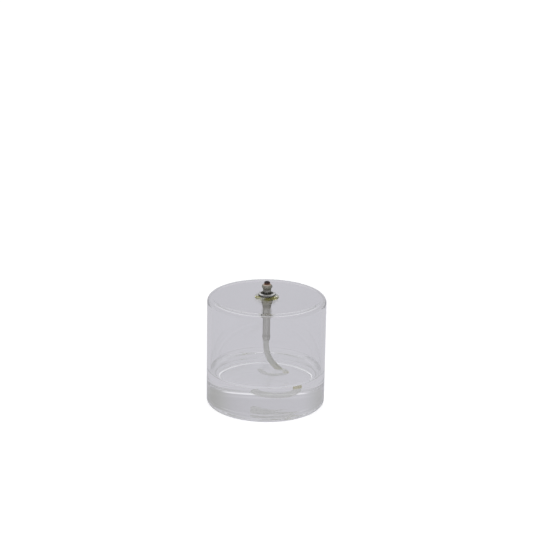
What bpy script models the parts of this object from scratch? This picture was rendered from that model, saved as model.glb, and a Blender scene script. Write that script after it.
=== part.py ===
"""Refillable glass oil lamp: a closed glass cylinder, lamp oil, and a lift-out metal burner with its wick.

Metres, +Z up. The origin is the centre of the glass base, on the surface that the lamp stands on.
"""

import math

import bmesh
import bpy
from mathutils import Vector

# Glass vessel
GLASS_RADIUS = 0.040
GLASS_HEIGHT = 0.0755
WALL = 0.0023
SHOULDER_RADIUS = 0.0040
FOOT_RADIUS = 0.0031
INNER_SHOULDER_RADIUS = 0.0015
NECK_HOLE_RADIUS = 0.0042
TOP_SINK = 0.0009

# Underside of the glass: its middle is raised a little inside a ring-shaped foot
KICK_HEIGHT = 0.0013
KICK_RADIUS = 0.0320
KICK_FOOT_RADIUS = 0.0350

# Inside of the glass: a thick floor, and a shallow trough over the foot
FLOOR = 0.0062
FLOOR_RADIUS = 0.0304
TROUGH = 0.0046
TROUGH_RADIUS = 0.0330
INNER_FOOT_RADIUS = 0.0046

# Oil
OIL_LEVEL = 0.0230

# Gaps between pieces that touch in the real lamp
FACE_GAP = 0.0003
SLEEVE_GAP = 0.00015

# Sealing ring, measured up from the rim of the glass's top
RING_INNER_RADIUS = 0.0040
RING_OUTER_RADIUS = 0.0081
RING_BASE = -TOP_SINK + FACE_GAP + 0.00005
RING_TOP = 0.0002

# Wick and the tube around it
WICK_RADIUS = 0.00195
TUBE_INNER_RADIUS = WICK_RADIUS + SLEEVE_GAP
TUBE_OUTER_RADIUS = TUBE_INNER_RADIUS + 0.00035
BUSH_INNER_RADIUS = TUBE_OUTER_RADIUS + SLEEVE_GAP
WICK_TIP = 0.0107

# Burner, measured up from the rim of the glass's top
FLANGE_RADIUS = 0.0058
FLANGE_BASE = RING_TOP + FACE_GAP
FLANGE_RIM = 0.0023
DISH_FLOOR = 0.0017
COLLAR_RADIUS = 0.00285
COLLAR_TOP = 0.0049
HEAD_BASE = COLLAR_TOP + FACE_GAP
HEAD_TOP = 0.0084
HEAD_RADIUS = 0.0036
CONE_RADIUS = 0.0039
CONE_SHANK_BASE = -0.0046
CONE_TIP = -0.0100

# Tube and ferrule, as heights above the base
TUBE_BASE = 0.0470
FERRULE_TOP = 0.0484
FERRULE_BEAD_BASE = 0.0466
FERRULE_BASE = 0.0447
FERRULE_RADIUS = 0.00285
FERRULE_MOUTH_RADIUS = 0.00235
WICK_CORE_BASE = 0.0412

# The free end of the wick: points along its centre line, from the tube down into the oil
WICK_ROUTE = (
    (0.0000, 0.0000, WICK_CORE_BASE - FACE_GAP),
    (0.0006, 0.0001, 0.0365),
    (0.0022, 0.0005, 0.0318),
    (0.0047, 0.0012, 0.0276),
    (0.0078, 0.0021, 0.0241),
    (0.0110, 0.0032, 0.0206),
    (0.0134, 0.0042, 0.0165),
    (0.0138, 0.0046, 0.0119),
    (0.0114, 0.0042, 0.0092),
    (0.0078, 0.0034, 0.0085),
    (0.0040, 0.0034, 0.0085),
    (0.0004, 0.0052, 0.0085),
    (-0.0026, 0.0088, 0.0085),
    (-0.0040, 0.0130, 0.0085),
)
WICK_POINT_SPACING = 0.0048

GLASS_SEGMENTS = 48
OIL_SEGMENTS = 48
BURNER_SEGMENTS = 32


def clear_scene():
    for item in list(bpy.data.objects):
        bpy.data.objects.remove(item, do_unlink=True)


def material(name, colour, roughness, metallic=0.0, transmission=0.0):
    """A plain Principled material."""
    made = bpy.data.materials.new(name)
    made.use_nodes = True
    shader = made.node_tree.nodes["Principled BSDF"]
    shader.inputs["Base Color"].default_value = (*colour, 1.0)
    shader.inputs["Roughness"].default_value = roughness
    shader.inputs["Metallic"].default_value = metallic
    shader.inputs["Transmission Weight"].default_value = transmission
    return made


def arc(centre_r, centre_z, radius, start, end, steps):
    """Points of a round corner in the (r, z) plane. Angles in degrees, 0 along +r and 90 along +z."""
    points = []
    for i in range(steps + 1):
        angle = math.radians(start + (end - start) * i / steps)
        points.append((centre_r + radius * math.cos(angle), centre_z + radius * math.sin(angle)))
    return points


def rounded(corners, steps=3):
    """Rounds the corners of an open outline of (r, z) or (r, z, corner radius). Its first and last points stay."""
    points = [corners[0][:2]]
    for before, corner, after in zip(corners, corners[1:], corners[2:]):
        here = Vector(corner[:2])
        back = Vector(before[:2]) - here
        ahead = Vector(after[:2]) - here
        reach = corner[2] / math.tan(back.angle(ahead) / 2.0)
        reach = min(reach, 0.48 * back.length, 0.48 * ahead.length)
        first = here + back.normalized() * reach
        last = here + ahead.normalized() * reach
        for k in range(steps + 1):
            t = k / steps
            points.append(tuple(first.lerp(here, t).lerp(here.lerp(last, t), t)))
    points.append(corners[-1][:2])
    return points


def inside_floor(inset=0.0):
    """The inside of the glass from its wall to its middle. inset is a gap to it."""
    wall = GLASS_RADIUS - WALL - inset
    corners = [
        (wall, TROUGH + 2.0 * INNER_FOOT_RADIUS),
        (wall, TROUGH + inset, INNER_FOOT_RADIUS),
        (TROUGH_RADIUS, TROUGH + inset, 0.0026),
        (FLOOR_RADIUS, FLOOR + inset, 0.0030),
        (0.0, FLOOR + inset),
    ]
    return rounded(corners, 4)


def finish_mesh(name, bm, made_of, smooth_angle=35.0):
    """Turns a bmesh into a named object with one material and smooth round faces."""
    mesh = bpy.data.meshes.new(name)
    bm.to_mesh(mesh)
    bm.free()
    mesh.materials.append(made_of)
    mesh.shade_smooth()
    mesh.set_sharp_from_angle(angle=math.radians(smooth_angle))
    made = bpy.data.objects.new(name, mesh)
    bpy.context.collection.objects.link(made)
    return made


def lathe(name, outline, segments, made_of, height=0.0):
    """Spins a closed outline of (r, z) points round Z. Points on the axis become poles."""
    bm = bmesh.new()
    corners = [bm.verts.new((r, 0.0, z)) for r, z in outline]
    on_axis = [r < 1e-9 for r, _ in outline]
    edges = []
    for i, corner in enumerate(corners):
        j = (i + 1) % len(corners)
        if not (on_axis[i] and on_axis[j]):
            edges.append(bm.edges.new((corner, corners[j])))
    bmesh.ops.spin(
        bm,
        geom=corners + edges,
        cent=(0.0, 0.0, 0.0),
        axis=(0.0, 0.0, 1.0),
        angle=2.0 * math.pi,
        steps=segments,
        use_duplicate=False,
    )
    bmesh.ops.remove_doubles(bm, verts=bm.verts[:], dist=1e-6)
    bmesh.ops.recalc_face_normals(bm, faces=bm.faces[:])
    made = finish_mesh(name, bm, made_of)
    made.location.z = height
    return made


def sunk(radius):
    """How far the top of the glass has sunk at this radius: nothing at its shoulder, most at its middle."""
    return TOP_SINK * (1.0 - (radius / (GLASS_RADIUS - SHOULDER_RADIUS)) ** 2)


def glass_body(made_of):
    """A blown cylinder with a slightly sunken top, a thick base, round shoulders and a hole for the burner."""
    inner = GLASS_RADIUS - WALL
    inner_top = GLASS_HEIGHT - WALL
    foot = GLASS_RADIUS - FOOT_RADIUS
    lip = WALL / 2.0
    top_radii = [0.0270, 0.0170, 0.0090]
    underside = [
        (0.0, KICK_HEIGHT),
        (KICK_RADIUS, KICK_HEIGHT, 0.0050),
        (KICK_FOOT_RADIUS, 0.0, 0.0012),
        (foot, 0.0),
    ]
    outline = rounded(underside)[:-1]
    outline += arc(foot, FOOT_RADIUS, FOOT_RADIUS, -90, 0, 4)
    outline += arc(
        GLASS_RADIUS - SHOULDER_RADIUS, GLASS_HEIGHT - SHOULDER_RADIUS, SHOULDER_RADIUS, 0, 90, 4
    )
    outline += [(r, GLASS_HEIGHT - sunk(r)) for r in top_radii]
    outline += arc(
        NECK_HOLE_RADIUS + lip, GLASS_HEIGHT - sunk(NECK_HOLE_RADIUS + lip) - lip, lip, 90, 270, 4
    )
    outline += [(r, inner_top - sunk(r)) for r in reversed(top_radii)]
    outline += arc(
        inner - INNER_SHOULDER_RADIUS, inner_top - INNER_SHOULDER_RADIUS, INNER_SHOULDER_RADIUS, 90, 0, 3
    )
    outline += inside_floor()[1:]
    return lathe("glass_body", outline, GLASS_SEGMENTS, made_of)


def lamp_oil(made_of, wick_space):
    """The pool of oil, with room in it for the wick."""
    outline = [(0.0, OIL_LEVEL), (GLASS_RADIUS - WALL - FACE_GAP, OIL_LEVEL)]
    outline += inside_floor(FACE_GAP)[1:]
    made = lathe("lamp_oil", outline, OIL_SEGMENTS, made_of)
    cut = made.modifiers.new("wick_space", "BOOLEAN")
    cut.operation = "DIFFERENCE"
    cut.solver = "EXACT"
    cut.object = wick_space
    return made


def sealing_ring(made_of):
    """The soft ring between the glass and the flange."""
    edge = 0.0002
    low = RING_BASE
    outline = [
        (RING_INNER_RADIUS, low),
        (RING_OUTER_RADIUS - edge, low),
        (RING_OUTER_RADIUS, low + edge),
        (RING_OUTER_RADIUS, RING_TOP - edge),
        (RING_OUTER_RADIUS - edge, RING_TOP),
        (RING_INNER_RADIUS, RING_TOP),
    ]
    return lathe("sealing_ring", outline, BURNER_SEGMENTS, made_of, GLASS_HEIGHT)


def flange_dish(made_of):
    """The shallow dish that rests on the sealing ring."""
    rim_width = 0.0011
    slope = 0.0006
    outline = [
        (BUSH_INNER_RADIUS, FLANGE_BASE),
        (FLANGE_RADIUS - slope, FLANGE_BASE),
        (FLANGE_RADIUS, FLANGE_BASE + 0.0005),
        (FLANGE_RADIUS, FLANGE_RIM - 0.0003),
        (FLANGE_RADIUS - rim_width, FLANGE_RIM),
        (FLANGE_RADIUS - rim_width - 0.0004, DISH_FLOOR),
        (BUSH_INNER_RADIUS, DISH_FLOOR),
    ]
    return lathe("flange_dish", outline, BURNER_SEGMENTS, made_of, GLASS_HEIGHT)


def neck_collar(made_of):
    """The spacer sleeve between the dish and the head."""
    edge = 0.00015
    low = DISH_FLOOR + FACE_GAP
    outline = [
        (BUSH_INNER_RADIUS, low),
        (COLLAR_RADIUS + edge, low),
        (COLLAR_RADIUS, low + 0.0005),
        (COLLAR_RADIUS, COLLAR_TOP),
        (BUSH_INNER_RADIUS, COLLAR_TOP),
    ]
    return lathe("neck_collar", outline, BURNER_SEGMENTS, made_of, GLASS_HEIGHT)


def burner_head(made_of):
    """The turned bead round the mouth of the tube."""
    outline = [
        (BUSH_INNER_RADIUS, HEAD_BASE),
        (0.0030, HEAD_BASE),
        (0.0034, HEAD_BASE + 0.0006),
        (HEAD_RADIUS, HEAD_BASE + 0.0011),
        (HEAD_RADIUS, HEAD_BASE + 0.0016),
        (0.0034, HEAD_BASE + 0.0026),
        (0.0030, HEAD_TOP - 0.0002),
        (0.0028, HEAD_TOP),
        (BUSH_INNER_RADIUS, HEAD_TOP),
    ]
    return lathe("burner_head", outline, BURNER_SEGMENTS, made_of, GLASS_HEIGHT)


def centring_cone(made_of):
    """The tapered bush that centres the burner in the neck hole."""
    top = FLANGE_BASE - FACE_GAP
    outline = [
        (BUSH_INNER_RADIUS, CONE_TIP),
        (BUSH_INNER_RADIUS + 0.0002, CONE_TIP),
        (CONE_RADIUS, CONE_SHANK_BASE),
        (CONE_RADIUS, top),
        (BUSH_INNER_RADIUS, top),
    ]
    return lathe("centring_cone", outline, BURNER_SEGMENTS, made_of, GLASS_HEIGHT)


def wick_tube(made_of):
    """The thin tube that runs through the whole burner and holds the wick."""
    top = GLASS_HEIGHT + HEAD_TOP - 0.0002
    outline = [
        (TUBE_INNER_RADIUS, TUBE_BASE),
        (TUBE_OUTER_RADIUS, TUBE_BASE),
        (TUBE_OUTER_RADIUS, top),
        (TUBE_INNER_RADIUS, top),
    ]
    return lathe("wick_tube", outline, BURNER_SEGMENTS, made_of)


def tube_ferrule(made_of):
    """The crimped ring on the lower end of the tube."""
    step = TUBE_BASE - FACE_GAP
    outline = [
        (TUBE_INNER_RADIUS, FERRULE_BASE),
        (FERRULE_MOUTH_RADIUS, FERRULE_BASE),
        (FERRULE_RADIUS, FERRULE_BEAD_BASE),
        (FERRULE_RADIUS, FERRULE_TOP),
        (BUSH_INNER_RADIUS, FERRULE_TOP),
        (BUSH_INNER_RADIUS, step),
        (TUBE_INNER_RADIUS, step),
    ]
    return lathe("tube_ferrule", outline, BURNER_SEGMENTS, made_of)


def wick_core(made_of):
    """The straight stretch of the wick inside the tube, with its rounded tip."""
    tip = GLASS_HEIGHT + WICK_TIP
    outline = [
        (0.0, WICK_CORE_BASE),
        (WICK_RADIUS, WICK_CORE_BASE),
        (WICK_RADIUS, tip - 0.0010),
        (WICK_RADIUS * 0.86, tip - 0.0005),
        (WICK_RADIUS * 0.50, tip - 0.0001),
        (0.0, tip),
    ]
    return lathe("wick_core", outline, BURNER_SEGMENTS // 2, made_of)


def spline_point(before, start, end, after, t):
    """A point of the Catmull-Rom curve between start and end."""
    return 0.5 * (
        2.0 * start
        + (end - before) * t
        + (2.0 * before - 5.0 * start + 4.0 * end - after) * t * t
        + (3.0 * start - before - 3.0 * end + after) * t * t * t
    )


def even_points(route, spacing):
    """Evenly spaced points of the smooth curve through the route's points."""
    marks = [Vector(p) for p in route]
    marks = [2.0 * marks[0] - marks[1]] + marks + [2.0 * marks[-1] - marks[-2]]
    fine = []
    for i in range(1, len(marks) - 2):
        for k in range(20):
            fine.append(spline_point(marks[i - 1], marks[i], marks[i + 1], marks[i + 2], k / 20.0))
    fine.append(marks[-2])
    along = [0.0]
    for a, b in zip(fine, fine[1:]):
        along.append(along[-1] + (b - a).length)
    count = round(along[-1] / spacing)
    points = []
    k = 0
    for i in range(count + 1):
        target = along[-1] * i / count
        while k < len(along) - 2 and along[k + 1] < target:
            k += 1
        share = (target - along[k]) / (along[k + 1] - along[k])
        points.append(fine[k].lerp(fine[k + 1], min(share, 1.0)))
    return points


def cord(name, points, radius, made_of=None):
    """A round cord along points, with closed ends."""
    shape = bpy.data.curves.new(name, "CURVE")
    shape.dimensions = "3D"
    shape.bevel_depth = radius
    shape.bevel_resolution = 2
    shape.use_fill_caps = True
    spline = shape.splines.new("POLY")
    spline.points.add(len(points) - 1)
    for place, point in zip(spline.points, points):
        place.co = (*point, 1.0)
    if made_of is not None:
        shape.materials.append(made_of)
    made = bpy.data.objects.new(name, shape)
    bpy.context.collection.objects.link(made)
    return made


def wick_space_cutter(points):
    """A fatter, longer copy of the wick's free end, which makes room for it in the oil."""
    heading = (points[-1] - points[-2]).normalized()
    points = points[:-1] + [points[-1] + heading * 2.0 * FACE_GAP]
    guide = cord("wick_guide", points, WICK_RADIUS + FACE_GAP + 0.0001)
    bpy.context.view_layer.update()
    mesh = bpy.data.meshes.new_from_object(guide.evaluated_get(bpy.context.evaluated_depsgraph_get()))
    bpy.data.objects.remove(guide, do_unlink=True)
    cutter = bpy.data.objects.new("wick_space_cutter", mesh)
    bpy.context.collection.objects.link(cutter)
    cutter.hide_render = True
    cutter.display_type = "WIRE"
    return cutter


def build():
    clear_scene()
    clear_glass = material("clear_glass", (0.90, 0.90, 0.92), 0.02, 0.0, 1.0)
    oil = material("paraffin_oil", (0.93, 0.95, 0.93), 0.0, 0.0, 1.0)
    silicone = material("amber_silicone", (0.42, 0.40, 0.16), 0.35, 0.0, 0.5)
    steel = material("satin_steel", (0.48, 0.46, 0.43), 0.30, 1.0)
    plated = material("nickel_plate", (0.52, 0.48, 0.42), 0.22, 1.0)
    fibreglass = material("fibreglass_braid", (0.62, 0.62, 0.58), 0.75)

    burner = bpy.data.objects.new("burner_axis", None)
    bpy.context.collection.objects.link(burner)
    route = even_points(WICK_ROUTE, WICK_POINT_SPACING)

    glass_body(clear_glass)
    lamp_oil(oil, wick_space_cutter(route))
    sealing_ring(silicone)
    turning = [
        flange_dish(steel),
        neck_collar(steel),
        burner_head(plated),
        centring_cone(steel),
        wick_tube(steel),
        tube_ferrule(plated),
        wick_core(fibreglass),
        cord("wick_tail", route, WICK_RADIUS, fibreglass),
    ]
    for piece in turning:
        piece.parent = burner


build()
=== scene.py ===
"""Looks of the refillable glass oil lamp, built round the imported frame.

Everything is in metres, in the frame of the CAD model. Angles named here are in degrees.
"""

import math

import bmesh
import bpy
import numpy as np
from mathutils import Matrix, Quaternion, Vector


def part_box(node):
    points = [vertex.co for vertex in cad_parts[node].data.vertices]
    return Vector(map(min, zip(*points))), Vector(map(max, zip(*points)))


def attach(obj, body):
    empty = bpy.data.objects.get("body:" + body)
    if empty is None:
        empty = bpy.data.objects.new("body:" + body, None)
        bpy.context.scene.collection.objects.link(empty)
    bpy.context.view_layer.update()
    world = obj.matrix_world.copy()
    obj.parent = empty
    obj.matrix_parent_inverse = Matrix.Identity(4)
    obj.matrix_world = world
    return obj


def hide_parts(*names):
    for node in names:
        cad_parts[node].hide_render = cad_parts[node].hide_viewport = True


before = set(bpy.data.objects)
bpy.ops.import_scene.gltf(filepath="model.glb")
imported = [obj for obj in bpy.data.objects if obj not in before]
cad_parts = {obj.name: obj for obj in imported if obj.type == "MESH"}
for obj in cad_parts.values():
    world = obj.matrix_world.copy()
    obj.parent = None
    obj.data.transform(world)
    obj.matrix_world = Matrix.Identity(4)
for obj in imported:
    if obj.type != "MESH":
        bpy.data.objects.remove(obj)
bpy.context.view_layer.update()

MM = 0.001

# Sizes read from the frame
GLASS_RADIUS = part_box("glass_body")[1].x
GLASS_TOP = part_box("glass_body")[1].z
OIL_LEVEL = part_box("lamp_oil")[1].z
RING_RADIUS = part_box("sealing_ring")[1].x
RING_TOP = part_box("sealing_ring")[1].z
FLANGE_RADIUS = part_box("flange_dish")[1].x
FLANGE_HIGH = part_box("flange_dish")[1].z
COLLAR_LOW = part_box("neck_collar")[0].z
COLLAR_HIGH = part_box("neck_collar")[1].z
HEAD_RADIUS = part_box("burner_head")[1].x
HEAD_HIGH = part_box("burner_head")[1].z
CONE_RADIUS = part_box("centring_cone")[1].x
CONE_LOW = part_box("centring_cone")[0].z
TUBE_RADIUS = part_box("wick_tube")[1].x
TUBE_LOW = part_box("wick_tube")[0].z
FERRULE_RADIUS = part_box("tube_ferrule")[1].x
FERRULE_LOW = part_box("tube_ferrule")[0].z
FERRULE_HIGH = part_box("tube_ferrule")[1].z
WICK_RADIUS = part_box("wick_core")[1].x
WICK_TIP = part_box("wick_core")[1].z
WICK_CORE_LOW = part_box("wick_core")[0].z

# Glass: its wall, its sunken top, and its base, raised in the middle and with a trough inside over the foot
WALL = 2.3 * MM
SHOULDER_RADIUS = 4.0 * MM
FOOT_RADIUS = 3.1 * MM
INNER_SHOULDER_RADIUS = 1.5 * MM
NECK_HOLE_RADIUS = 4.2 * MM
TOP_SINK = 0.9 * MM
KICK_HEIGHT = 1.3 * MM
KICK_RADIUS = 32.0 * MM
KICK_CORNER = 5.0 * MM
KICK_FOOT_RADIUS = 35.0 * MM
KICK_FOOT_CORNER = 1.2 * MM
FLOOR = 6.2 * MM
FLOOR_RADIUS = 30.4 * MM
FLOOR_CORNER = 3.0 * MM
TROUGH = 4.6 * MM
TROUGH_RADIUS = 33.0 * MM
TROUGH_CORNER = 2.6 * MM
INNER_FOOT_RADIUS = 4.6 * MM
GLASS_COLOUR = (0.985, 0.985, 0.99)
GLASS_IOR = 1.47
GLASS_SEGMENTS = 192

# Oil: it climbs a little at the wall, and a thin gap keeps it off the glass
OIL_COLOUR = (0.995, 1.0, 0.995)
OIL_IOR = 1.44
MENISCUS_HEIGHT = 2.5 * MM
MENISCUS_WIDTH = 7.0 * MM
MENISCUS_FALL = 3.2
MENISCUS_STEPS = 24
FILM = 0.02 * MM

# Sealing ring, and the olive painted on it where refraction picks up the burner's colour, as shares of a
# turn from -X, anticlockwise from above
CLEAR_SILICONE = (0.88, 0.88, 0.80)
PAINTED_REFRACTION_OLIVE = (0.60, 0.58, 0.24)
RING_PAINTED_REFRACTIONS = (
    (0.00, CLEAR_SILICONE),
    (0.07, PAINTED_REFRACTION_OLIVE),
    (0.12, PAINTED_REFRACTION_OLIVE),
    (0.16, CLEAR_SILICONE),
    (0.24, CLEAR_SILICONE),
    (0.28, PAINTED_REFRACTION_OLIVE),
    (0.48, PAINTED_REFRACTION_OLIVE),
    (0.54, CLEAR_SILICONE),
)

# Burner: its gaps, the radii and heights that its pieces share, and its metals
CLEARANCE = 0.05 * MM
FACE_GAP = 0.02 * MM
BORE = TUBE_RADIUS + CLEARANCE
TUBE_BORE = WICK_RADIUS + 0.12 * MM
FLANGE_BASE = RING_TOP + FACE_GAP
DISH_FLOOR = COLLAR_LOW - 0.3 * MM
BURNER_SEGMENTS = 96
# Flange: its steel painted dark for shade, and its rim painted bright as a highlight
SHADED_FLANGE_STEEL = (0.22, 0.22, 0.205)
HIGHLIGHT_RIM_STEEL = (0.92, 0.92, 0.90)
# Collar: darker towards its foot, lighter at its top
COLLAR_FOOT_DARK = (0.08, 0.08, 0.072)
COLLAR_TOP_STEEL = (0.36, 0.355, 0.32)
CONE_STEEL = (0.44, 0.43, 0.375)
TUBE_STEEL = (0.54, 0.535, 0.50)
# Painted glow of the flame on the tube's top
PAINTED_FLAME_GLOW = (0.98, 0.76, 0.62)
HEAD_PLATE = (0.40, 0.39, 0.335)
# Painted glow of the flame and painted highlight on the head's lip
PAINTED_LIP_GLOW = (0.99, 0.82, 0.71)

# Wick: its braid, its tip, and its colours from dry to ash
BRAID_SEGMENTS = 48
BRAID_YARNS = 8
BRAID_PITCH = 5.2 * MM
BRAID_RELIEF = 0.10 * MM
RING_SPACING = 0.28 * MM
CORE_RINGS = 121
TIP_ROUNDING = 1.3 * MM
TIP_SWELL = 1.06
STAIN_WANDER = 3.0 * MM
DRY_WICK = (0.74, 0.745, 0.70)
DAMP_WICK = (0.74, 0.74, 0.66)
WET_WICK = (0.76, 0.76, 0.66)
SOAKED_WICK = (0.96, 0.965, 0.93)
STAINED_WICK = (0.68, 0.63, 0.32)
HALF_STAINED_WICK = (0.74, 0.70, 0.45)
FAINTLY_STAINED_WICK = (0.90, 0.90, 0.80)
SOAKED_ALPHA = 0.55
SINGED_WICK = (0.30, 0.14, 0.07)
CHARRED_WICK = (0.055, 0.022, 0.018)
WICK_ASH = (0.035, 0.022, 0.024)

# The wick's free end: its length below the ferrule, and the route of its solid in the frame
WICK_ROUTE = (
    (0.0000, 0.0000, 0.0409),
    (0.0006, 0.0001, 0.0365),
    (0.0022, 0.0005, 0.0318),
    (0.0047, 0.0012, 0.0276),
    (0.0078, 0.0021, 0.0241),
    (0.0110, 0.0032, 0.0206),
    (0.0134, 0.0042, 0.0165),
    (0.0138, 0.0046, 0.0119),
    (0.0114, 0.0042, 0.0092),
    (0.0078, 0.0034, 0.0085),
    (0.0040, 0.0034, 0.0085),
    (0.0004, 0.0052, 0.0085),
    (-0.0026, 0.0088, 0.0085),
    (-0.0040, 0.0130, 0.0085),
)

# Camera: where it stands from the middle of the glass, and how it is turned
CAMERA_DISTANCE = 1.200
CAMERA_SIDEWAYS = 0.0003
CAMERA_ELEVATION = 20.3
CAMERA_ROLL = 0.96
CAMERA_TILT_UP = 2.666
CAMERA_LENS = 119.73
CAMERA_SENSOR = 36.0
CAMERA_NEAR = 0.01
CAMERA_FAR = 50.0

# Room: its grey, its shades from left to right (-X to +X), and how it dims towards the floor
ROOM = (0.57, 0.565, 0.60)
ROOM_SHADES = (
    (-1.00, (0.62, 0.63, 0.58)),
    (-0.80, (0.74, 0.745, 0.70)),
    (-0.69, (0.83, 0.84, 0.80)),
    (-0.57, (0.92, 0.93, 0.91)),
    (-0.43, (1.01, 1.01, 1.01)),
    (0.00, (1.00, 1.00, 1.00)),
    (0.24, (0.97, 0.97, 0.97)),
    (0.377, (0.91, 0.91, 0.90)),
    (0.518, (0.82, 0.83, 0.78)),
    (0.596, (0.753, 0.764, 0.711)),
    (0.71, (0.685, 0.696, 0.63)),
    (0.85, (0.60, 0.62, 0.55)),
)
LOW_ROOM = 0.90
LOW_ROOM_FADE = (22.0, 30.0)

# Soft light at the back: where its edges start and stop fading, from straight back and above level
SOFTBOX = (0.90, 0.90, 0.93)
SOFTBOX_SIDE_FADE = (29.0, 41.0)
SOFTBOX_LOW_FADE = (25.5, 29.5)
SOFTBOX_HIGH_FADE = (50.0, 60.0)

# Stage: its size, its white for the camera, and how much lighter its grey is in front of the glass
STAGE_SIZE = 6.0
STAGE_DROP = 0.1 * MM
STAGE_WHITE = (2.02, 2.03, 1.98)
STAGE_FRONT = 1.12
STAGE_FRONT_FADE = (0.5 * GLASS_RADIUS, -1.5 * GLASS_RADIUS)

LIGHT_BOUNCES = 96


# ---------------------------------------------------------------- outlines and meshes


def arc(centre_r, centre_z, radius, start, end, steps):
    """Points of a round corner in the (r, z) plane. Angles in degrees, 0 along +r and 90 along +z."""
    angles = [math.radians(start + (end - start) * i / steps) for i in range(steps + 1)]
    return [(centre_r + radius * math.cos(a), centre_z + radius * math.sin(a)) for a in angles]


def rounded(outline, steps=4):
    """Rounds the corners of an outline whose points are (r, z) or (r, z, corner radius)."""
    points = []
    count = len(outline)
    for i, corner in enumerate(outline):
        here = Vector(corner[:2])
        if len(corner) == 2:
            points.append(tuple(here))
            continue
        back = Vector(outline[i - 1][:2]) - here
        ahead = Vector(outline[(i + 1) % count][:2]) - here
        half = back.angle(ahead) / 2.0
        reach = min(corner[2] / math.tan(half), 0.48 * back.length, 0.48 * ahead.length)
        first = here + back.normalized() * reach
        last = here + ahead.normalized() * reach
        for k in range(steps + 1):
            t = k / steps
            points.append(tuple(first.lerp(here, t).lerp(here.lerp(last, t), t)))
    return points


def held(outline, reach=0.12 * MM):
    """Adds a point near each end of every long side, so that smooth shading bends only at corners."""
    points = []
    for i, here in enumerate(outline):
        ahead = outline[(i + 1) % len(outline)]
        points.append(here)
        along = Vector(ahead) - Vector(here)
        if along.length > 8.0 * reach:
            step = along.normalized() * reach
            points += [tuple(Vector(here) + step), tuple(Vector(ahead) - step)]
    return points


def link(item):
    bpy.context.scene.collection.objects.link(item)
    return item


def mesh_object(name, bm, materials, smooth_angle=30.0):
    """Turns a bmesh into an object that is smooth but for edges sharper than smooth_angle."""
    mesh = bpy.data.meshes.new(name)
    bm.to_mesh(mesh)
    bm.free()
    for material in materials:
        mesh.materials.append(material)
    mesh.shade_smooth()
    mesh.set_sharp_from_angle(angle=math.radians(smooth_angle))
    return link(bpy.data.objects.new(name, mesh))


def lathe(name, outline, segments, materials, slot_of=None, smooth_angle=30.0):
    """Turns a closed outline of (r, z) points round Z. slot_of picks a material by its edge's middle."""
    bm = bmesh.new()
    turn = [2.0 * math.pi * k / segments for k in range(segments)]
    rings = []
    for r, z in outline:
        if r < 1e-9:
            rings.append([bm.verts.new((0.0, 0.0, z))])
        else:
            rings.append([bm.verts.new((r * math.cos(a), r * math.sin(a), z)) for a in turn])
    for i, low in enumerate(rings):
        high = rings[(i + 1) % len(rings)]
        if len(low) == 1 and len(high) == 1:
            continue
        (r0, z0), (r1, z1) = outline[i], outline[(i + 1) % len(rings)]
        slot = slot_of((r0 + r1) / 2.0, (z0 + z1) / 2.0) if slot_of else 0
        for k in range(segments):
            n = (k + 1) % segments
            corners = [low[k % len(low)], low[n % len(low)], high[n % len(high)], high[k % len(high)]]
            face = bm.faces.new(list(dict.fromkeys(corners)))
            face.material_index = slot
    bmesh.ops.recalc_face_normals(bm, faces=bm.faces[:])
    return mesh_object(name, bm, materials, smooth_angle)


def place_piece(piece, body, replaced):
    """Lets a piece ride on a body and stand in for a CAD node."""
    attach(piece, body)
    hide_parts(replaced)


# ---------------------------------------------------------------- shader nodes


def new_material(name):
    material = bpy.data.materials.new(name)
    material.use_nodes = True
    return material, material.node_tree, material.node_tree.nodes["Principled BSDF"]


def coordinates(tree, kind="Object"):
    """Where a point is: the whole vector, and the outputs X, Y and Z."""
    vector = tree.nodes.new("ShaderNodeTexCoord").outputs[kind]
    split = tree.nodes.new("ShaderNodeSeparateXYZ")
    tree.links.new(vector, split.inputs[0])
    return vector, split.outputs


def noise(tree, vector, scale, detail, roughness=0.5):
    """Cloudy noise from 0 to 1."""
    made = tree.nodes.new("ShaderNodeTexNoise")
    made.inputs["Scale"].default_value = scale
    made.inputs["Detail"].default_value = detail
    made.inputs["Roughness"].default_value = roughness
    tree.links.new(vector, made.inputs["Vector"])
    return made.outputs["Fac"]


def ramp(tree, source, stops):
    """A colour ramp on source, with stops of (position, colour)."""
    made = tree.nodes.new("ShaderNodeValToRGB")
    elements = made.color_ramp.elements
    while len(elements) < len(stops):
        elements.new(0.5)
    for element, (position, colour) in zip(elements, stops):
        element.position = position
        element.color = (*colour, 1.0)
    tree.links.new(source, made.inputs["Fac"])
    return made.outputs["Color"]


def maths(tree, operation, *values):
    """A maths node. Each value is a socket or a number."""
    made = tree.nodes.new("ShaderNodeMath")
    made.operation = operation
    for socket, value in zip(made.inputs, values):
        if isinstance(value, (int, float)):
            socket.default_value = value
        else:
            tree.links.new(value, socket)
    return made.outputs[0]


def remap(tree, source, start, end, low=0.0, high=1.0, smooth=False):
    """Goes from low to high while source goes from start to end, evenly or smoothly."""
    made = tree.nodes.new("ShaderNodeMapRange")
    made.interpolation_type = "SMOOTHSTEP" if smooth else "LINEAR"
    for socket, value in zip(("From Min", "From Max", "To Min", "To Max"), (start, end, low, high)):
        made.inputs[socket].default_value = value
    tree.links.new(source, made.inputs["Value"])
    return made.outputs["Result"]


def fade(tree, angle, start_and_end, low=0.0, high=1.0):
    """Goes smoothly from low to high while an angle goes between two values given in degrees."""
    start, end = (math.radians(a) for a in start_and_end)
    return remap(tree, angle, start, end, low, high, smooth=True)


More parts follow.
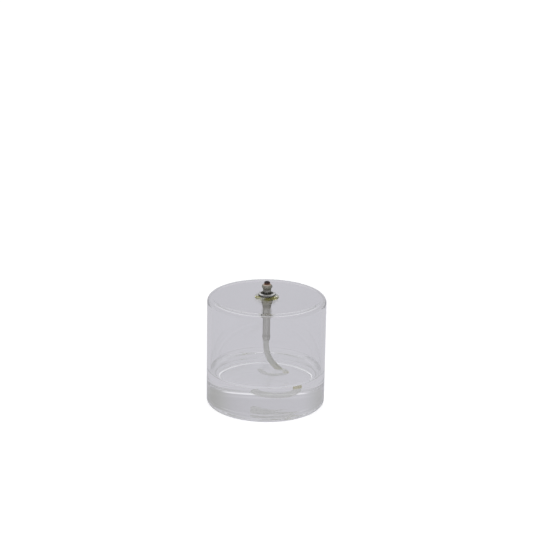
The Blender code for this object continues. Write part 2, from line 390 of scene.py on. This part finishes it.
def mixed(tree, factor, first, second, blend_type="MIX"):
    """Mixes two colours. Each is a socket or an RGB colour, and factor is a socket or a number."""
    made = tree.nodes.new("ShaderNodeMix")
    made.data_type = "RGBA"
    made.blend_type = blend_type
    for socket, value in (("Factor", factor), ("A", first), ("B", second)):
        if isinstance(value, tuple):
            made.inputs[socket].default_value = (*value, 1.0)
        elif isinstance(value, float):
            made.inputs[socket].default_value = value
        else:
            tree.links.new(value, made.inputs[socket])
    return made.outputs["Result"]


def scaled(tree, colour, factor):
    """A colour socket multiplied by a number socket."""
    made = tree.nodes.new("ShaderNodeVectorMath")
    made.operation = "SCALE"
    tree.links.new(colour, made.inputs[0])
    tree.links.new(factor, made.inputs["Scale"])
    return made.outputs[0]


def roughened(tree, shader, height, strength, depth):
    """Gives a shader fine relief."""
    made = tree.nodes.new("ShaderNodeBump")
    made.inputs["Strength"].default_value = strength
    made.inputs["Distance"].default_value = depth
    tree.links.new(height, made.inputs["Height"])
    tree.links.new(made.outputs["Normal"], shader.inputs["Normal"])


def show(tree, to_camera, to_others, surface):
    """Shows one shader to the camera and another to every other ray."""
    path = tree.nodes.new("ShaderNodeLightPath")
    mix = tree.nodes.new("ShaderNodeMixShader")
    tree.links.new(path.outputs["Is Camera Ray"], mix.inputs[0])
    tree.links.new(to_others, mix.inputs[1])
    tree.links.new(to_camera, mix.inputs[2])
    tree.links.new(mix.outputs[0], surface)


# ---------------------------------------------------------------- materials


def glass_material(name, ior, colour):
    """A clear, smooth surface between two things, which bends light by ior."""
    material, _, shader = new_material(name)
    shader.inputs["Base Color"].default_value = (*colour, 1.0)
    shader.inputs["Roughness"].default_value = 0.0
    shader.inputs["IOR"].default_value = ior
    shader.inputs["Transmission Weight"].default_value = 1.0
    return material


def metal_material(name, colour, roughness, streaks=False, upper=None):
    """Turned metal with fine rings, or with streaks along Z. upper is (colour, from height, to height)."""
    material, tree, shader = new_material(name)
    vector, axes = coordinates(tree)
    squeeze, grain = (0.03, 900.0) if streaks else (6.0, 260.0)
    stretch = tree.nodes.new("ShaderNodeMapping")
    stretch.inputs["Scale"].default_value = (1.0, 1.0, squeeze)
    tree.links.new(vector, stretch.inputs["Vector"])
    blotch = noise(tree, stretch.outputs[0], grain, 3.0, 0.55)
    dark = tuple(0.86 * c for c in colour)
    light = tuple(min(1.0, 1.08 * c) for c in colour)
    tone = ramp(tree, blotch, [(0.34, dark), (0.64, light)])
    if upper is not None:
        upper_colour, from_height, to_height = upper
        tone = mixed(tree, remap(tree, axes["Z"], from_height, to_height), tone, upper_colour)
    tree.links.new(tone, shader.inputs["Base Color"])
    shader.inputs["Metallic"].default_value = 1.0
    shader.inputs["Specular Tint"].default_value = (0.45, 0.45, 0.42, 1.0)
    matt = remap(tree, blotch, 0.0, 1.0, 0.8 * roughness, 1.25 * roughness)
    tree.links.new(matt, shader.inputs["Roughness"])
    roughened(tree, shader, blotch, 0.10, 0.03 * MM)
    return material


def silicone_material():
    """Clear silicone, with olive painted over parts of its turn where refraction picks up the burner's
    colour.
    """
    material, tree, shader = new_material("amber_silicone")
    vector, axes = coordinates(tree)
    turn = maths(tree, "ARCTAN2", axes["Y"], axes["X"])
    wander = maths(tree, "MULTIPLY_ADD", noise(tree, vector, 240.0, 3.0), 0.5, turn)
    tone = ramp(tree, remap(tree, wander, -math.pi, math.pi), RING_PAINTED_REFRACTIONS)
    tree.links.new(tone, shader.inputs["Base Color"])
    shader.inputs["Transmission Weight"].default_value = 0.92
    shader.inputs["Roughness"].default_value = 0.32
    shader.inputs["IOR"].default_value = 1.41
    return material


def wick_material(name, stops, alpha=1.0):
    """Glass-fibre braid. stops are (height, colour) pairs from low to high."""
    material, tree, shader = new_material(name)
    vector, axes = coordinates(tree)
    fibre = noise(tree, vector, 1500.0, 3.0, 0.7)
    tone = ramp(tree, fibre, [(0.32, (0.86, 0.86, 0.85)), (0.66, (1.0, 1.0, 1.0))])
    patch = noise(tree, vector, 170.0, 2.0)
    wander = maths(tree, "MULTIPLY", maths(tree, "SUBTRACT", patch, 0.5), STAIN_WANDER)
    low, high = stops[0][0], stops[-1][0]
    rise = remap(tree, maths(tree, "ADD", axes["Z"], wander), low, high)
    colour = ramp(tree, rise, [((height - low) / (high - low), shade) for height, shade in stops])
    tree.links.new(mixed(tree, 1.0, tone, colour, "MULTIPLY"), shader.inputs["Base Color"])
    shader.inputs["Roughness"].default_value = 0.62
    shader.inputs["Alpha"].default_value = alpha
    roughened(tree, shader, fibre, 0.35, 0.06 * MM)
    return material


# ---------------------------------------------------------------- glass and oil


def inside_floor(inset=0.0):
    """The inside of the glass from its wall to its middle. inset is a gap to it."""
    wall = GLASS_RADIUS - WALL - inset
    outline = [
        (wall, TROUGH + 2.0 * INNER_FOOT_RADIUS),
        (wall, TROUGH + inset, INNER_FOOT_RADIUS),
        (TROUGH_RADIUS, TROUGH + inset, TROUGH_CORNER),
        (FLOOR_RADIUS, FLOOR + inset, FLOOR_CORNER),
        (0.0, FLOOR + inset),
    ]
    return rounded(outline, 12)


def sunk(radius):
    """How far the top has sunk at this radius: nothing at the shoulder, most in the middle."""
    return TOP_SINK * (1.0 - (radius / (GLASS_RADIUS - SHOULDER_RADIUS)) ** 2)


def vessel_outline():
    """The glass's section, from the middle of its underside round the outside and back along the inside."""
    inner = GLASS_RADIUS - WALL
    inner_top = GLASS_TOP - WALL
    inner_shoulder = inner - INNER_SHOULDER_RADIUS
    shoulder = GLASS_RADIUS - SHOULDER_RADIUS
    foot = GLASS_RADIUS - FOOT_RADIUS
    lip = WALL / 2.0
    lip_middle = NECK_HOLE_RADIUS + lip
    top_radii = [MM * r for r in range(34, 7, -2)]
    underside = [
        (0.0, KICK_HEIGHT),
        (KICK_RADIUS, KICK_HEIGHT, KICK_CORNER),
        (KICK_FOOT_RADIUS, 0.0, KICK_FOOT_CORNER),
        (foot, 0.0),
    ]
    outline = rounded(underside, 10)[:-1]
    outline += arc(foot, FOOT_RADIUS, FOOT_RADIUS, -90, 0, 14)
    outline += arc(shoulder, GLASS_TOP - SHOULDER_RADIUS, SHOULDER_RADIUS, 0, 90, 14)
    outline += [(r, GLASS_TOP - sunk(r)) for r in top_radii]
    outline += arc(lip_middle, GLASS_TOP - sunk(lip_middle) - lip, lip, 90, 270, 10)
    outline += [(r, inner_top - sunk(r)) for r in reversed(top_radii)]
    outline += arc(inner_shoulder, inner_top - INNER_SHOULDER_RADIUS, INNER_SHOULDER_RADIUS, 90, 0, 14)
    outline += [(inner, OIL_LEVEL + MENISCUS_HEIGHT)]
    outline += inside_floor()
    return outline


def build_glass():
    """The glass. Where oil wets it, its surface bends light only as much as glass does against oil."""
    dry = glass_material("clear_glass", GLASS_IOR, GLASS_COLOUR)
    wet = glass_material("wetted_glass", GLASS_IOR / OIL_IOR, (1.0, 1.0, 1.0))

    def slot_of(r, z):
        inside = r < GLASS_RADIUS - 0.9 * WALL and z > 0.6 * TROUGH
        return 1 if inside and z <= OIL_LEVEL + MENISCUS_HEIGHT else 0

    vessel = lathe("vessel", held(vessel_outline()), GLASS_SEGMENTS, [dry, wet], slot_of, 60.0)
    place_piece(vessel, "glass", "glass_body")


def build_oil():
    """The oil. Only its free surface bends light, and it climbs a little at the glass."""
    surface = glass_material("paraffin_oil", OIL_IOR, OIL_COLOUR)
    unseen = glass_material("oil_against_glass", 1.0, (1.0, 1.0, 1.0))
    radius = GLASS_RADIUS - WALL - FILM
    outline = inside_floor(FILM)[::-1]
    for i in range(MENISCUS_STEPS + 1):
        share = (i / MENISCUS_STEPS) ** 2
        height = MENISCUS_HEIGHT * (1.0 - share) ** MENISCUS_FALL
        outline.append((radius - MENISCUS_WIDTH * share, OIL_LEVEL + height))
    outline += [(radius * share, OIL_LEVEL) for share in (0.6, 0.25, 0.0)]

    def slot_of(r, z):
        return 0 if z > OIL_LEVEL - 0.01 * MM else 1

    pool = lathe("oil_pool", held(outline), GLASS_SEGMENTS, [surface, unseen], slot_of, 40.0)
    place_piece(pool, "glass", "lamp_oil")


# ---------------------------------------------------------------- ring and burner


def build_ring():
    """The soft ring between the glass and the flange."""
    low = GLASS_TOP - sunk(RING_RADIUS) + FACE_GAP
    inner = CONE_RADIUS + 0.5 * MM
    outline = [
        (inner, low, 0.3 * MM),
        (RING_RADIUS, low, 0.55 * MM),
        (RING_RADIUS, RING_TOP, 0.6 * MM),
        (inner, RING_TOP, 0.3 * MM),
    ]
    ring = lathe("seal_ring", rounded(outline, 6), BURNER_SEGMENTS, [silicone_material()], None, 50.0)
    place_piece(ring, "seal", "sealing_ring")


def burner_piece(name, outline, materials, replaced, steps=4, slot_of=None):
    """A turned piece of the burner, from an outline of (r, z) or (r, z, corner radius)."""
    outline = held(rounded(outline, steps), 0.06 * MM)
    piece = lathe(name, outline, BURNER_SEGMENTS, materials, slot_of, 40.0)
    place_piece(piece, "burner", replaced)


def build_flange():
    """The dish on the ring, of steel painted dark for shade, with a highlight painted on its rim."""
    rim_low = FLANGE_HIGH - 0.42 * MM
    rim_middle = FLANGE_RADIUS - 0.6 * MM
    outline = [
        (BORE, FLANGE_BASE),
        (FLANGE_RADIUS - 0.8 * MM, FLANGE_BASE, 0.2 * MM),
        (FLANGE_RADIUS, FLANGE_BASE + 0.6 * MM, 0.25 * MM),
        (FLANGE_RADIUS, FLANGE_HIGH - 0.40 * MM, 0.15 * MM),
        (FLANGE_RADIUS - 1.6 * MM, FLANGE_HIGH, 0.15 * MM),
        (FLANGE_RADIUS - 2.0 * MM, DISH_FLOOR, 0.3 * MM),
        (BORE, DISH_FLOOR),
    ]
    # Painted shade on the dish, and a painted highlight on its rim
    dark = metal_material("flange_steel_painted_shade", SHADED_FLANGE_STEEL, 0.24)
    bright = metal_material("rim_steel_painted_highlight", HIGHLIGHT_RIM_STEEL, 0.48)

    def slot_of(r, z):
        return 1 if z > rim_low and abs(r - rim_middle) < 0.5 * MM else 0

    burner_piece("flange", outline, [dark, bright], "flange_dish", 4, slot_of)


def build_collar():
    """The sleeve between the dish and the head, darker towards its foot in the dish."""
    low = DISH_FLOOR + CLEARANCE
    radius = TUBE_RADIUS + 0.2 * MM
    outline = [
        (BORE, low),
        (radius + 0.25 * MM, low, 0.1 * MM),
        (radius, low + 0.7 * MM, 0.3 * MM),
        (radius, COLLAR_HIGH, 0.08 * MM),
        (BORE, COLLAR_HIGH),
    ]
    steel = metal_material("collar_steel_darker_low", COLLAR_FOOT_DARK, 0.30, True, (COLLAR_TOP_STEEL, COLLAR_LOW, COLLAR_HIGH))
    burner_piece("collar", outline, [steel], "neck_collar")


def build_head():
    """The turned bead round the wick's mouth, with the flame's glow and a highlight painted on its lip."""
    low = COLLAR_HIGH + CLEARANCE
    rise = HEAD_HIGH - low
    lip_radius = 2.72 * MM
    lip_low = HEAD_HIGH - 0.43 * MM
    outline = [
        (BORE, low),
        (HEAD_RADIUS * 0.75, low, 0.1 * MM),
        (HEAD_RADIUS * 0.88, low + 0.30 * rise, 0.6 * MM),
        (HEAD_RADIUS * 1.00, low + 0.52 * rise, 0.3 * MM),
        (HEAD_RADIUS * 0.97, low + 0.60 * rise, 0.2 * MM),
        (HEAD_RADIUS * 0.93, low + 0.80 * rise, 0.3 * MM),
        (HEAD_RADIUS * 0.82, HEAD_HIGH - 0.46 * MM, 0.15 * MM),
        (lip_radius, HEAD_HIGH - 0.42 * MM, 0.03 * MM),
        (lip_radius, HEAD_HIGH, 0.1 * MM),
        (BORE, HEAD_HIGH, 0.05 * MM),
    ]
    plate = metal_material("nickel_plate", HEAD_PLATE, 0.2)
    lip_glow = metal_material("lip_painted_glow", PAINTED_LIP_GLOW, 0.40)

    def slot_of(r, z):
        return 1 if z > lip_low else 0

    burner_piece("head", outline, [plate, lip_glow], "burner_head", 6, slot_of)


def build_cone():
    """The tapered bush in the neck of the glass."""
    shank_low = GLASS_TOP - 4.6 * MM
    high = FLANGE_BASE - FACE_GAP
    outline = [
        (BORE, CONE_LOW),
        (BORE + 0.15 * MM, CONE_LOW, 0.05 * MM),
        (CONE_RADIUS, shank_low, 0.5 * MM),
        (CONE_RADIUS, high, 0.1 * MM),
        (BORE, high),
    ]
    steel = metal_material("cone_steel", CONE_STEEL, 0.28)
    burner_piece("cone", outline, [steel], "centring_cone")


def build_tube_and_ferrule():
    """The tube round the wick, with the flame's glow painted on its top, and the crimped ring at its foot.
    """
    tube_glow = (PAINTED_FLAME_GLOW, HEAD_HIGH - 0.35 * MM, HEAD_HIGH - 0.1 * MM)
    steel = metal_material("satin_steel", TUBE_STEEL, 0.28, True, tube_glow)
    tube_high = HEAD_HIGH + CLEARANCE
    tube = [
        (TUBE_BORE, TUBE_LOW),
        (TUBE_RADIUS, TUBE_LOW, 0.05 * MM),
        (TUBE_RADIUS, tube_high, 0.08 * MM),
        (TUBE_BORE, tube_high, 0.08 * MM),
    ]
    burner_piece("tube", tube, [steel], "wick_tube")

    bead_radius = FERRULE_RADIUS - 0.15 * MM
    step = TUBE_LOW - CLEARANCE
    ferrule = [
        (TUBE_BORE, FERRULE_LOW, 0.05 * MM),
        (WICK_RADIUS + 0.3 * MM, FERRULE_LOW, 0.08 * MM),
        (bead_radius - 0.1 * MM, FERRULE_LOW + 1.9 * MM, 0.5 * MM),
        (bead_radius, FERRULE_HIGH - 0.8 * MM, 0.4 * MM),
        (bead_radius - 0.15 * MM, FERRULE_HIGH, 0.2 * MM),
        (BORE, FERRULE_HIGH),
        (BORE, step),
        (TUBE_BORE, step),
    ]
    burner_piece("ferrule", ferrule, [steel], "tube_ferrule")


# ---------------------------------------------------------------- wick


def spline_point(before, start, end, after, t):
    """A point of the Catmull-Rom curve between start and end."""
    return 0.5 * (
        2.0 * start
        + (end - before) * t
        + (2.0 * before - 5.0 * start + 4.0 * end - after) * t * t
        + (3.0 * start - before - 3.0 * end + after) * t * t * t
    )


def even_path(route, spacing, fine_steps=40):
    """Evenly spaced points of the smooth curve through route."""
    marks = [Vector(p) for p in route]
    marks = [2.0 * marks[0] - marks[1]] + marks + [2.0 * marks[-1] - marks[-2]]
    fine = []
    for i in range(1, len(marks) - 2):
        fine += [spline_point(*marks[i - 1 : i + 3], k / fine_steps) for k in range(fine_steps)]
    fine.append(marks[-2])
    along = np.concatenate([[0.0], np.cumsum([(b - a).length for a, b in zip(fine, fine[1:])])])
    wanted = np.linspace(0.0, along[-1], round(along[-1] / spacing) + 1)
    table = np.array([tuple(p) for p in fine])
    return [Vector([float(np.interp(w, along, table[:, k])) for k in range(3)]) for w in wanted]


def braid_radius(turn, travelled, radius):
    """How far the braid's surface is from its middle: two sets of yarns that cross over each other."""
    twist = 2.0 * math.pi * travelled / BRAID_PITCH * BRAID_YARNS / 4.0
    nearer = max(math.cos(BRAID_YARNS * turn + twist), math.cos(BRAID_YARNS * turn - twist))
    return radius - BRAID_RELIEF + BRAID_RELIEF * nearer


def braided_tube(name, path, radius, material, tip_rounding=0.0):
    """A round braid along path. tip_rounding is the length over which its far end is rounded off."""
    bm = bmesh.new()
    rings = []
    side = None
    travelled = 0.0
    total = sum((b - a).length for a, b in zip(path, path[1:]))
    for i, point in enumerate(path):
        heading = (path[min(i + 1, len(path) - 1)] - path[max(i - 1, 0)]).normalized()
        if side is None:
            side = heading.orthogonal().normalized()
        side = (side - heading * side.dot(heading)).normalized()
        other = heading.cross(side)
        if i:
            travelled += (point - path[i - 1]).length
        left = total - travelled
        shrink = 1.0
        if tip_rounding and left < tip_rounding:
            shrink = TIP_SWELL * math.sqrt(max(0.02, 1.0 - (1.0 - left / tip_rounding) ** 2))
        ring = []
        for k in range(BRAID_SEGMENTS):
            turn = 2.0 * math.pi * k / BRAID_SEGMENTS
            r = braid_radius(turn, travelled, radius) * shrink
            ring.append(bm.verts.new(point + side * (r * math.cos(turn)) + other * (r * math.sin(turn))))
        rings.append(ring)
    for low, high in zip(rings, rings[1:]):
        for k in range(BRAID_SEGMENTS):
            n = (k + 1) % BRAID_SEGMENTS
            bm.faces.new((low[k], low[n], high[n], high[k]))
    bm.faces.new(rings[0][::-1])
    bm.faces.new(rings[-1])
    bmesh.ops.recalc_face_normals(bm, faces=bm.faces[:])
    return mesh_object(name, bm, [material], 70.0)


def build_wick_core(low):
    """The straight stretch of the wick, from low up to its charred tip."""
    stops = (
        (WICK_CORE_LOW, DRY_WICK),
        (HEAD_HIGH - 0.6 * MM, DRY_WICK),
        (HEAD_HIGH + 0.1 * MM, SINGED_WICK),
        (HEAD_HIGH + 0.9 * MM, CHARRED_WICK),
        (WICK_TIP, WICK_ASH),
    )
    material = wick_material("fibreglass_braid", stops)
    path = [Vector((0.0, 0.0, z)) for z in np.linspace(low, WICK_TIP, CORE_RINGS)]
    core = braided_tube("wick_in_tube", path, WICK_RADIUS, material, TIP_ROUNDING)
    place_piece(core, "wick", "wick_core")


def build_wick_tail(start):
    """The free end of the wick. Below the oil's level it is partly see-through, with a stain at its bend."""
    damp_stops = (
        (OIL_LEVEL, WET_WICK),
        (OIL_LEVEL + 3.0 * MM, DAMP_WICK),
        (OIL_LEVEL + 9.0 * MM, DRY_WICK),
        (50.0 * MM, DRY_WICK),
    )
    soaked_stops = (
        (5.0 * MM, SOAKED_WICK),
        (12.2 * MM, SOAKED_WICK),
        (13.2 * MM, STAINED_WICK),
        (14.4 * MM, HALF_STAINED_WICK),
        (16.6 * MM, FAINTLY_STAINED_WICK),
        (OIL_LEVEL, SOAKED_WICK),
    )
    damp = wick_material("damp_braid", damp_stops)
    soaked = wick_material("soaked_braid", soaked_stops, SOAKED_ALPHA)
    route = ((0.0, 0.0, start), (0.0, 0.0, FERRULE_LOW - 1.0 * MM)) + WICK_ROUTE
    path = even_path(route, RING_SPACING)
    tail = braided_tube("wick_free_end", path, WICK_RADIUS, damp)
    tail.data.materials.append(soaked)
    for face in tail.data.polygons:
        if face.center.z < OIL_LEVEL:
            face.material_index = 1
    place_piece(tail, "wick", "wick_tail")


# ---------------------------------------------------------------- stage, light and camera


def build_stage():
    """A plain pale floor: white to the camera, and the room's soft grey through and in the glass."""
    bm = bmesh.new()
    bmesh.ops.create_grid(bm, x_segments=1, y_segments=1, size=STAGE_SIZE)
    material, tree, shader = new_material("pale_floor")
    tree.nodes.remove(shader)
    white = tree.nodes.new("ShaderNodeBsdfDiffuse")
    white.inputs["Color"].default_value = (*STAGE_WHITE, 1.0)
    _, axes = coordinates(tree)
    front = remap(tree, axes["Y"], *STAGE_FRONT_FADE, 1.0, STAGE_FRONT, smooth=True)
    room = tree.nodes.new("ShaderNodeRGB")
    room.outputs[0].default_value = (*ROOM, 1.0)
    grey = tree.nodes.new("ShaderNodeEmission")
    tree.links.new(scaled(tree, room.outputs[0], front), grey.inputs["Color"])
    show(tree, white.outputs[0], grey.outputs[0], tree.nodes["Material Output"].inputs["Surface"])
    floor = mesh_object("floor", bm, [material])
    floor.location.z = -STAGE_DROP


def build_light():
    """A soft grey room, darker to the sides, with a wide soft light at the back. The camera sees white."""
    world = bpy.data.worlds.new("studio")
    bpy.context.scene.world = world
    world.use_nodes = True
    tree = world.node_tree
    _, axes = coordinates(tree, "Generated")
    stops = [((x + 1.0) / 2.0, tuple(r * c for r, c in zip(ROOM, shade))) for x, shade in ROOM_SHADES]
    room = ramp(tree, remap(tree, axes["X"], -1.0, 1.0), stops)
    turn = maths(tree, "ABSOLUTE", maths(tree, "ARCTAN2", axes["X"], axes["Y"]))
    rise = maths(tree, "ARCSINE", axes["Z"])
    wide = fade(tree, turn, SOFTBOX_SIDE_FADE, 1.0, 0.0)
    low = fade(tree, rise, SOFTBOX_LOW_FADE)
    high = fade(tree, rise, SOFTBOX_HIGH_FADE, 1.0, 0.0)
    lit = maths(tree, "MULTIPLY", wide, maths(tree, "MULTIPLY", low, high))
    dim = fade(tree, rise, LOW_ROOM_FADE, LOW_ROOM, 1.0)
    grey = tree.nodes["Background"]
    tree.links.new(mixed(tree, lit, scaled(tree, room, dim), SOFTBOX), grey.inputs["Color"])
    white = tree.nodes.new("ShaderNodeBackground")
    white.inputs["Color"].default_value = (1.0, 1.0, 1.0, 1.0)
    show(tree, white.outputs[0], grey.outputs[0], tree.nodes["World Output"].inputs["Surface"])


def build_camera():
    """A long lens that looks down on the lamp, turned so that the lamp stands where it does in the photo."""
    data = bpy.data.cameras.new("camera")
    data.lens = CAMERA_LENS
    data.sensor_width = CAMERA_SENSOR
    data.clip_start = CAMERA_NEAR
    data.clip_end = CAMERA_FAR
    camera = link(bpy.data.objects.new("camera", data))
    middle = Vector((CAMERA_SIDEWAYS, 0.0, GLASS_TOP / 2.0))
    elevation = math.radians(CAMERA_ELEVATION)
    back = Vector((0.0, -math.cos(elevation), math.sin(elevation)))
    turn = (-back).to_track_quat("-Z", "Y")
    turn = turn @ Quaternion((0.0, 0.0, 1.0), math.radians(CAMERA_ROLL))
    turn = turn @ Quaternion((1.0, 0.0, 0.0), math.radians(CAMERA_TILT_UP))
    camera.matrix_world = Matrix.Translation(middle + back * CAMERA_DISTANCE) @ turn.to_matrix().to_4x4()
    bpy.context.scene.camera = camera


def set_look():
    """Plain colours, and enough bounces for light to cross the glass and the oil many times."""
    scene = bpy.context.scene
    scene.view_settings.view_transform = "Standard"
    scene.cycles.max_bounces = LIGHT_BOUNCES
    scene.cycles.transmission_bounces = LIGHT_BOUNCES
    scene.cycles.glossy_bounces = LIGHT_BOUNCES
    scene.cycles.diffuse_bounces = 4
    scene.cycles.transparent_max_bounces = 12
    scene.cycles.blur_glossy = 0.0


# The straight stretch of the wick and its free end meet out of sight, inside the ferrule
wick_joint = FERRULE_LOW + 1.5 * MM

build_camera()
build_wick_core(wick_joint - 0.2 * MM)
build_wick_tail(wick_joint)
build_glass()
build_oil()
build_ring()
build_flange()
build_collar()
build_head()
build_cone()
build_tube_and_ferrule()
build_stage()
build_light()
set_look()
